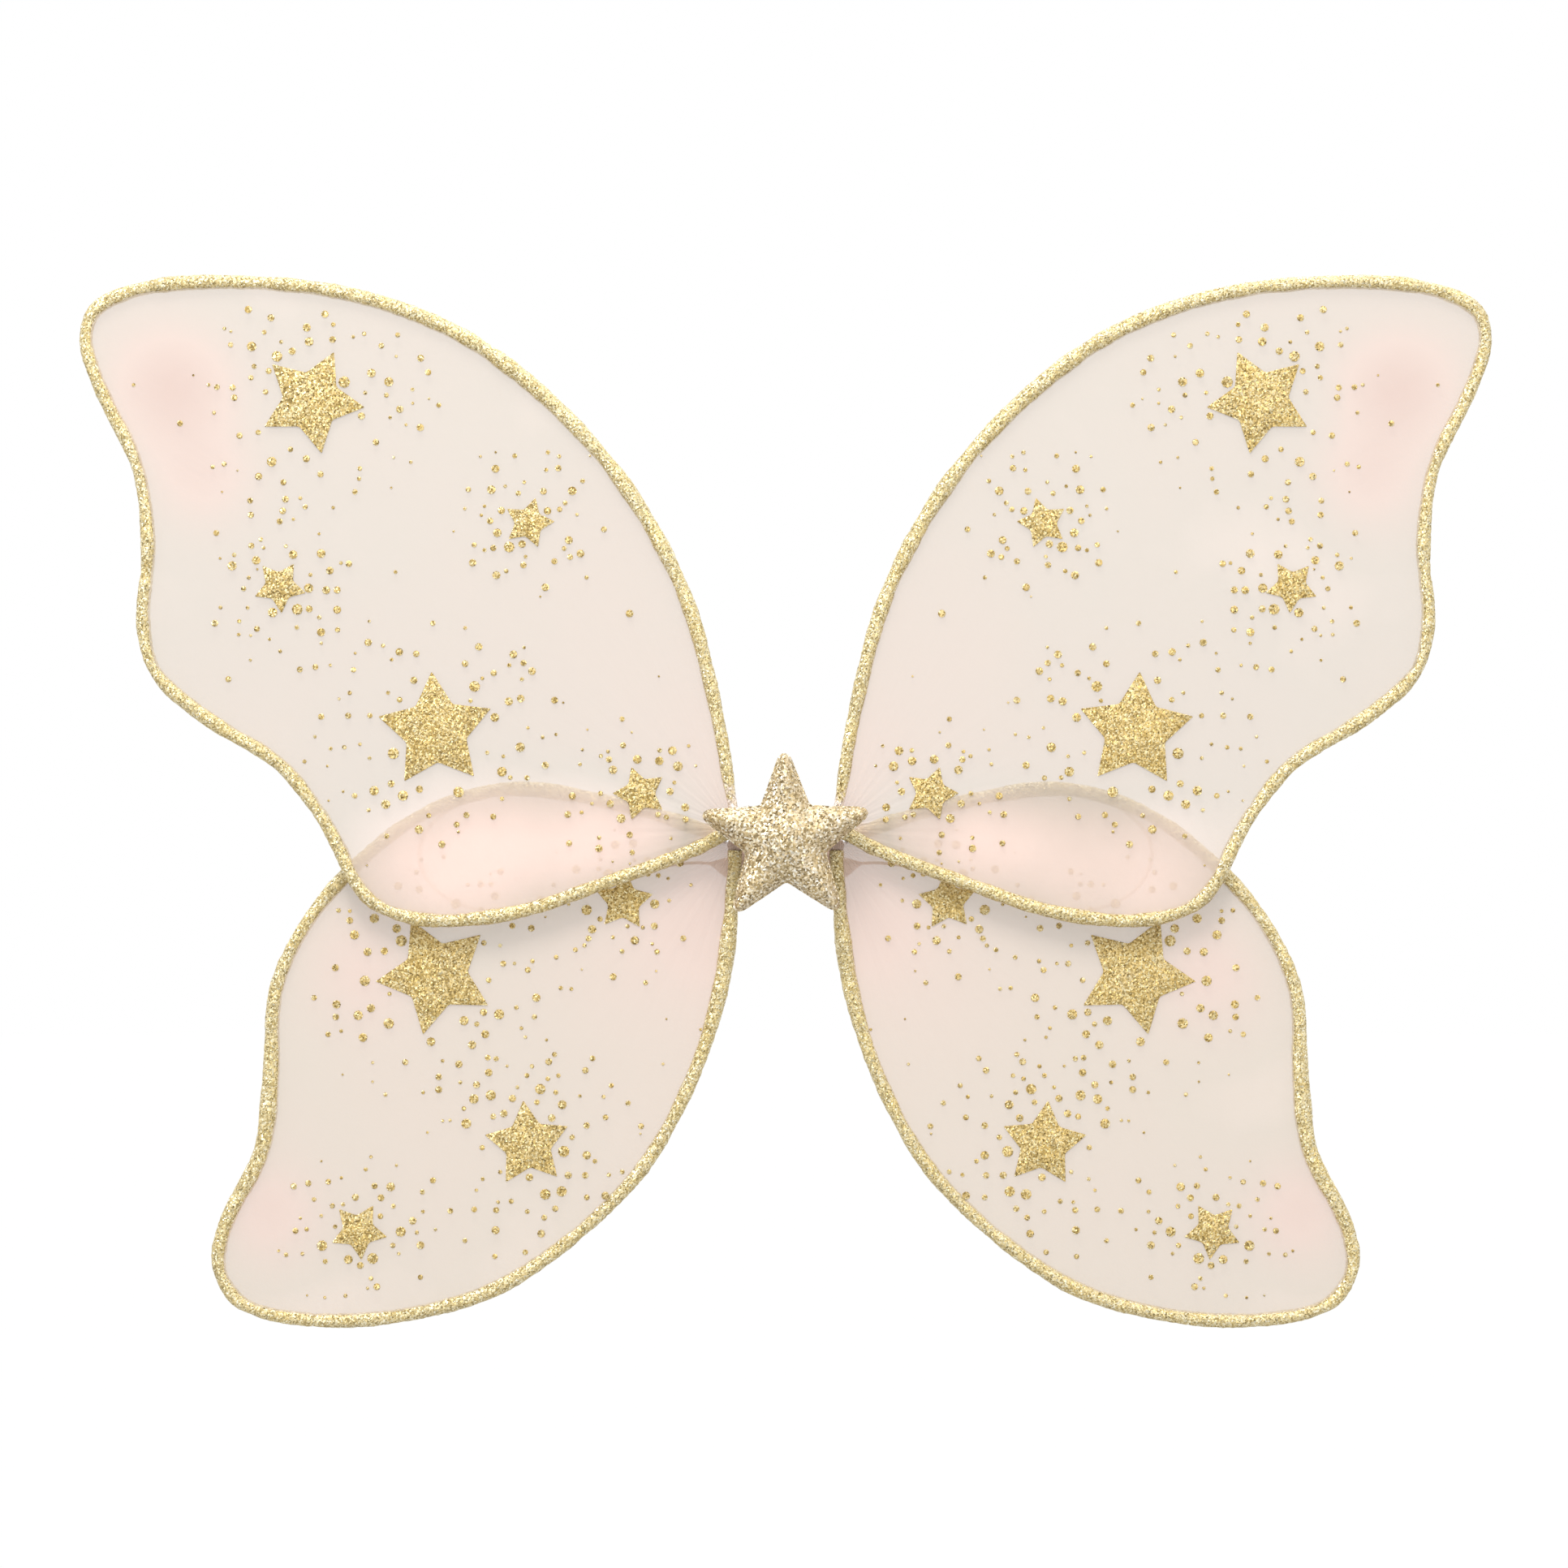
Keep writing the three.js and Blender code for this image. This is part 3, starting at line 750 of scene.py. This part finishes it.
def add_gather_tie(wing):
    """The net's gathered neck, with thread wound round it."""
    low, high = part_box(f"{wing.name}_gather_tie")
    middle = (low + high) / 2
    half = (high.x - low.x) / 2

    def place(u, v):
        turn = u * 2 * math.pi
        along = (v * 2 - 1) * half * 0.98
        waist = 0.74 + 0.22 * np.abs(v * 2 - 1) ** 2
        radius = half * 0.8 * waist * (1 + 0.07 * np.sin(turn * 13))
        radius = radius * np.sqrt(np.clip(1.02 - (2 * v - 1) ** 8, 0, 1))
        return np.column_stack([middle.x + along, middle.y + radius * np.cos(turn),
                                middle.z + radius * np.sin(turn)])

    neck = grid(104, 12, place)
    face_out(neck, (bpy.ops.mesh.remove_doubles, {"threshold": 2e-5}),
             (bpy.ops.mesh.fill_holes, {"sides": 0}))
    rounds, points, radius = 7, 18, 0.76 * half
    turns = np.linspace(0, rounds * 2 * math.pi, rounds * points)
    along = np.linspace(-0.55, 0.55, len(turns)) * half
    thread = rod([np.column_stack([middle.x + along, middle.y + radius * np.cos(turns),
                                   middle.z + radius * np.sin(turns)])],
                 0.22 * MM, sides=1)
    finish_piece(merged([neck, thread]), f"{wing.name}_thread_tie", wing.body,
                 tie_thread, [f"{wing.name}_gather_tie"])


def add_wire_tail(wing):
    """The loop's two ends twisted together."""
    low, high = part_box(f"{wing.name}_wire_tail")
    middle = (low + high) / 2
    x = np.linspace(low.x, high.x, 60)
    turn = (x - low.x) / TWIST_PITCH * 2 * math.pi
    strands = [
        np.column_stack([x, middle.y + WIRE_R * np.cos(turn + start),
                         middle.z + WIRE_R * np.sin(turn + start)])
        for start in (0, math.pi)
    ]
    finish_piece(rod(strands, WIRE_R * 0.97), f"{wing.name}_twisted_tail", "centre",
                 wire_steel, [f"{wing.name}_wire_tail"])


def add_wings():
    """All that belongs to the four wings."""
    for level in ("upper", "lower"):
        for side in ("right", "left"):
            wing = Wing(level, side)
            add_wire(wing)
            add_net(wing, True)
            add_net(wing, False)
            add_glitter_edge(wing)
            add_prints(wing)
            add_gather_tie(wing)
            add_wire_tail(wing)


# ------------------------------------------------------------------- centre

def add_binding():
    """Tape wound round the four tails in five overlapping turns."""
    low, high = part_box("centre_binding")
    middle = (low + high) / 2
    outer = (high.z - low.z) / 2
    turns, width = 5, 6.2 * MM
    pitch = (high.x - low.x - width) / turns

    def place(u, v):
        turn = u * turns * 2 * math.pi
        x = low.x + pitch * turns * u + width * v
        radius = outer - 0.62 * MM + 0.36 * MM * v
        return np.column_stack([x, middle.y + radius * np.cos(turn),
                                middle.z + radius * np.sin(turn)])

    tape = grid(240, 8, place)
    apply_modifier(tape, "SOLIDIFY", thickness=0.22 * MM, offset=0)
    face_out(tape)
    finish_piece(tape, "wound_tape", "centre", binding_tape, ["centre_binding"])


def star_skin():
    """The padded star's skin, blown up like a pillow. It is made ten times too big, so that
    the cloth's own stiffness suits it; fitted_star brings it to size."""
    big, frames, pressure = 10, 20, 4
    farthest = 160 * MM  # that any point may be blown out
    skin = flat_star(STAR_APEX_R * big, STAR_INNER_R / STAR_APEX_R, 12 * MM,
                     STAR_TIP_ROUND * big, MM * big)
    work_on(skin, "VERT", lambda v: True,
            (bpy.ops.transform.translate, {"value": (0, 8 * MM, 0)}))
    apply_modifier(skin, "REMESH", mode="VOXEL", voxel_size=7 * MM, use_smooth_shade=True)
    flat = np.array([v.co for v in skin.data.vertices])
    seam = skin.vertex_groups.new(name="seam")
    middle = flat[:, 1].mean()
    rim = bmesh.new()
    rim.from_mesh(skin.data)
    rim.normal_update()
    held = [v.index for v in rim.verts
            if abs(v.normal.y) < 0.5 and abs(v.co.y - middle) < 4 * MM]
    rim.free()
    seam.add(held, 1, "REPLACE")
    cloth = skin.modifiers.new("inflate", "CLOTH")
    cloth.settings.use_pressure = True
    cloth.settings.uniform_pressure_force = pressure
    cloth.settings.effector_weights.gravity = 0
    cloth.settings.vertex_group_mass = "seam"
    cloth.collision_settings.use_collision = False
    cloth.point_cache.frame_start, cloth.point_cache.frame_end = 1, frames
    for step in range(1, frames + 1):
        bpy.context.scene.frame_set(step)
    bpy.context.view_layer.objects.active = skin
    bpy.ops.object.modifier_apply(modifier="inflate")
    bpy.context.scene.frame_set(1)
    blown = np.array([v.co for v in skin.data.vertices])
    move = blown - flat
    size = np.linalg.norm(move, axis=1, keepdims=True)
    blown = flat + move * np.minimum(1, farthest / np.maximum(size, 1e-9))
    skin.data.vertices.foreach_set("co", blown.ravel())
    skin.vertex_groups.clear()
    apply_modifier(skin, "SMOOTH", factor=0.5, iterations=3)
    apply_modifier(skin, "SUBSURF", levels=1, render_levels=1)
    return skin


def fitted_star(skin):
    """Brings the skin to its real size and place, just inside the raised seam, and says how
    deep the seam lies."""
    front_low, front_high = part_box("star_front_panel")
    back_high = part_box("star_back_panel")[1]
    seam = front_high.y + 0.15 * MM
    co = np.array([v.co for v in skin.data.vertices])
    co[:, [0, 2]] *= (STAR_R - 0.3 * MM) / co[:, 2].max()
    front = co[:, 1] < 0
    co[front, 1] *= (seam - front_low.y) / -co[:, 1].min()
    co[~front, 1] *= (back_high.y - seam) / co[:, 1].max()
    c, s = math.cos(STAR_TILT), math.sin(STAR_TILT)
    x, z = co[:, 0] * c - co[:, 2] * s, co[:, 0] * s + co[:, 2] * c
    co = np.column_stack([x, co[:, 1] + seam, z + STAR_Z])
    skin.data.vertices.foreach_set("co", co.ravel())
    skin.data.update()
    return skin, seam


def seam_line(cover, y):
    """The open edge of a star cover as an even, closed run of points at the seam."""
    rim = bmesh.new()
    rim.from_mesh(cover.data)
    spots = [(v.co.x, v.co.z) for v in rim.verts if v.is_boundary]
    rim.free()
    spots.sort(key=lambda p: math.atan2(p[1] - STAR_Z, p[0]))
    window = 7
    around = np.array(spots[-(window // 2):] + spots + spots[:window // 2])
    x, z = (np.convolve(column, np.ones(window) / window, "valid") for column in around.T)
    path = smoothed(np.column_stack([x, z])[::3], 1 * MM)
    return np.column_stack([path[:, 0], np.full(len(path), y), path[:, 1]])


def add_padded_star():
    """The two covers, each half of the skin, the raised seam between them and the filling."""
    skin, seam = fitted_star(star_skin())
    covers = {}
    for side, cut_away in (("front", 1), ("back", -1)):
        cover = skin.copy()
        cover.data = skin.data.copy()
        bpy.context.scene.collection.objects.link(cover)
        pick(cover)
        work_on(cover, "FACE", lambda f: (f.center.y - seam) * cut_away > 0,
                (bpy.ops.mesh.delete, {"type": "FACE"}))
        covers[side] = cover
    ring = seam_line(covers["back"], seam)
    for side, cover in covers.items():
        apply_modifier(cover, "SOLIDIFY", thickness=0.5 * MM, offset=-1)
        finish_piece(cover, f"padded_star_{side}_cover", "centre",
                     star_glitter, [f"star_{side}_panel"], smooth=60)
    apply_modifier(skin, "DISPLACE", strength=-0.7 * MM, mid_level=0)
    finish_piece(skin, "star_fibre_filling", "centre", fibre_fill,
                 ["star_stuffing"], smooth=80)
    finish_piece(rod([ring], STAR_SEAM_R, sides=2, closed=True), "padded_star_seam", "centre",
                 star_glitter)


def felt_piece(node, corner):
    """A cut piece of felt with rounded corners, soft edges and a slightly uneven surface."""
    low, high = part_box(node)
    size = high - low
    bpy.ops.object.select_all(action="DESELECT")
    bpy.ops.mesh.primitive_cube_add(size=1, location=(low + high) / 2, scale=size)
    piece = bpy.context.object
    bpy.ops.object.transform_apply(location=True, rotation=True, scale=True)
    verts = piece.data.vertices

    def runs_deep(edge):
        a, b = (verts[i].co for i in edge.vertices)
        return abs(a.y - b.y) > size.y / 2

    work_on(piece, "EDGE", runs_deep,
            (bpy.ops.mesh.bevel, {"offset": corner, "segments": 8}))
    work_on(piece, "FACE", lambda f: abs(f.normal.y) > 0.9,
            (bpy.ops.mesh.region_to_loop, {}),
            (bpy.ops.mesh.bevel, {"offset": min(0.5 * MM, size.y * 0.3), "segments": 2}))
    voxel = 0.5 * MM if size.y > 1 * MM else 0.25 * MM
    apply_modifier(piece, "REMESH", mode="VOXEL", voxel_size=voxel)
    roughened(piece, 3 * MM, 0.12 * MM)
    return piece


def add_stitches(name, places):
    """Short stitches on the centre, each lying along its place's own X axis."""
    bpy.ops.object.select_all(action="DESELECT")
    bpy.ops.mesh.primitive_uv_sphere_add(segments=8, ring_count=6, radius=1)
    stitch = bpy.context.object
    work_on(stitch, "VERT", lambda v: True,
            (bpy.ops.transform.resize, {"value": (0.75 * MM, 0.2 * MM, 0.22 * MM),
                                        "center_override": (0, 0, 0)}))
    finish_piece(joined(stitch, places), name, "centre", tie_thread)


def stitches_round(low, high, inset, step):
    """Places for stitches round a felt piece's back, a little inside its edge."""
    corners = [(low.x + inset, low.z + inset), (high.x - inset, low.z + inset),
               (high.x - inset, high.z - inset), (low.x + inset, high.z - inset)]
    places = []
    for (ax, az), (bx, bz) in zip(corners, corners[1:] + corners[:1]):
        count = int(math.hypot(bx - ax, bz - az) / step)
        turn = math.atan2(bz - az, bx - ax)
        for k in range(1, count):
            t = k / count
            places.append(
                Matrix.Translation((ax + (bx - ax) * t, high.y, az + (bz - az) * t))
                @ Matrix.Rotation(-turn, 4, "Y"))
    return places


def add_back_pad():
    """The felt pad, and the patch sewn on it."""
    pad = felt_piece("back_pad", 7 * MM)
    finish_piece(pad, "felt_pad", "centre", pad_felt, ["back_pad"], smooth=80)
    patch = felt_piece("pad_patch", 4 * MM)
    finish_piece(patch, "felt_patch", "centre", pad_felt, ["pad_patch"], smooth=80)
    low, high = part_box("pad_patch")
    add_stitches("patch_stitches", stitches_round(low, high, 2 * MM, 2.2 * MM))


def add_arm_loop(side):
    """Flat elastic, sewn flat on the pad at both ends and turned on edge between them."""
    sign = 1 if side == "right" else -1
    node = f"{side}_arm_elastic"
    low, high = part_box(node)
    pad_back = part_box("back_pad")[1].y
    path = smoothed([(a * MM, b * MM) for a, b in STRAP_ROUTE], STRAP_STEP)
    steps = np.arange(len(path))
    length = STRAP_STEP * (len(path) - 1)
    middle_y = (low.y + high.y) / 2
    sewn, turning, rib_count = 4 * MM, 13 * MM, 9
    tangent = np.gradient(path, axis=0)
    tangent /= np.linalg.norm(tangent, axis=1, keepdims=True)

    def place(u, v):
        at = u * (len(path) - 1)
        x, z = (np.interp(at, steps, c) for c in path.T)
        tx, tz = (np.interp(at, steps, c) for c in tangent.T)
        from_end = np.minimum(u, 1 - u) * length
        on_edge = np.clip((from_end - sewn) / turning, 0, 1)
        on_edge = on_edge * on_edge * (3 - 2 * on_edge)
        turn = on_edge * math.pi / 2
        y = (1 - on_edge) * (pad_back + 0.75 * MM) + on_edge * middle_y
        across = (v * 2 - 1) * STRAP_HALF_WIDTH
        ribs = 0.06 * MM * np.cos(v * rib_count * 2 * math.pi)
        flat_x, flat_z = -tz * np.cos(turn), tx * np.cos(turn)
        x = x + across * flat_x - tz * np.sin(turn) * ribs
        z = z + across * flat_z + tx * np.sin(turn) * ribs
        return np.column_stack([sign * x, y + across * np.sin(turn) + ribs * np.cos(turn), z])

    strap = grid(len(path) - 1, 36, place)
    apply_modifier(strap, "SOLIDIFY", thickness=STRAP_THICKNESS, offset=0)
    face_out(strap)
    finish_piece(strap, f"{side}_arm_loop_elastic", None, arm_elastic, [node],
                 smooth=50)
    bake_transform(strap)
    row, stitch_gap = 5, 1.45 * MM
    places = [
        Matrix.Translation((sign * x * MM, pad_back + 1.25 * MM,
                            end_z * MM + (k - row // 2) * stitch_gap))
        @ Matrix.Rotation(math.pi / 2, 4, "Y")
        for _, end_z in (STRAP_ROUTE[0], STRAP_ROUTE[-1])
        for x in (12.9, 14.6)
        for k in range(row)
    ]
    add_stitches(f"{side}_arm_loop_stitches", places)


# -------------------------------------------------------------------- stage

def add_floor():
    """A floor well below the wings. It gives off its own light, so that it looks as white as
    the room and the two meet without a line; it is a little dimmer under the wings."""
    bpy.ops.object.select_all(action="DESELECT")
    bpy.ops.mesh.primitive_circle_add(vertices=64, radius=12, fill_type="NGON",
                                      location=(0, 0, -0.75))
    floor = bpy.context.object
    floor.name = "studio_floor"
    material, tree, shader = new_material("white_studio_floor", 0.9, Specular_IOR_Level=0)
    shader.inputs["Base Color"].default_value = linear("383838")
    shader.inputs["Emission Color"].default_value = linear("FFFFFF")
    place = add_node(tree, "ShaderNodeTexCoord").outputs["Object"]
    away = add_node(tree, "ShaderNodeVectorMath", {0: place}, operation="LENGTH")
    glow = add_node(tree, "ShaderNodeMapRange", {"Value": away.outputs["Value"],
                                                 "From Min": 1.0, "From Max": 2.4,
                                                 "To Min": 0.76, "To Max": 0.95})
    tree.links.new(glow.outputs[0], shader.inputs["Emission Strength"])
    floor.data.materials.append(material)


def add_room():
    """A white room, brighter overhead."""
    world = bpy.data.worlds.new("white_studio")
    bpy.context.scene.world = world
    world.use_nodes = True
    tree = world.node_tree
    tree.nodes["Background"].inputs["Color"].default_value = (1, 1, 1, 1)
    toward = add_node(tree, "ShaderNodeTexCoord").outputs["Generated"]
    height = add_node(tree, "ShaderNodeSeparateXYZ", {0: toward}).outputs["Z"]
    overhead = add_node(tree, "ShaderNodeMapRange", {"Value": height, "From Min": 0.25,
                                                     "To Min": 1.0, "To Max": 1.6})
    tree.links.new(overhead.outputs[0], tree.nodes["Background"].inputs["Strength"])


def add_lights():
    """Two softboxes aimed at the middle: a key in front, above, and a weaker one behind."""
    for name, place, size, power in (
        ("key_softbox", (-0.15, -0.8, 1.25), 0.5, 17),
        ("back_softbox", (0.5, 1.0, 1.3), 0.8, 5),
    ):
        bpy.ops.object.light_add(type="AREA", location=place)
        light = bpy.context.object
        light.name, light.data.size, light.data.energy = name, size, power
        light.rotation_euler = (-Vector(place)).to_track_quat("-Z", "Y").to_euler()


def add_camera():
    """A long lens, looking straight at the wings from 1.54 m in front of the wires."""
    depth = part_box("upper_right_wire_loop")[0].y + WIRE_R
    bpy.ops.object.camera_add(location=(-0.0006, depth - 1.542, 0.0184),
                              rotation=(math.pi / 2, 0, 0))
    camera = bpy.context.object
    camera.data.lens, camera.data.sensor_width = 100, 36
    bpy.context.scene.camera = camera


add_camera()
add_floor()
add_room()
add_lights()
bpy.context.scene.view_settings.view_transform = "Standard"
add_wings()
add_binding()
add_padded_star()
add_back_pad()
add_arm_loop("right")
add_arm_loop("left")
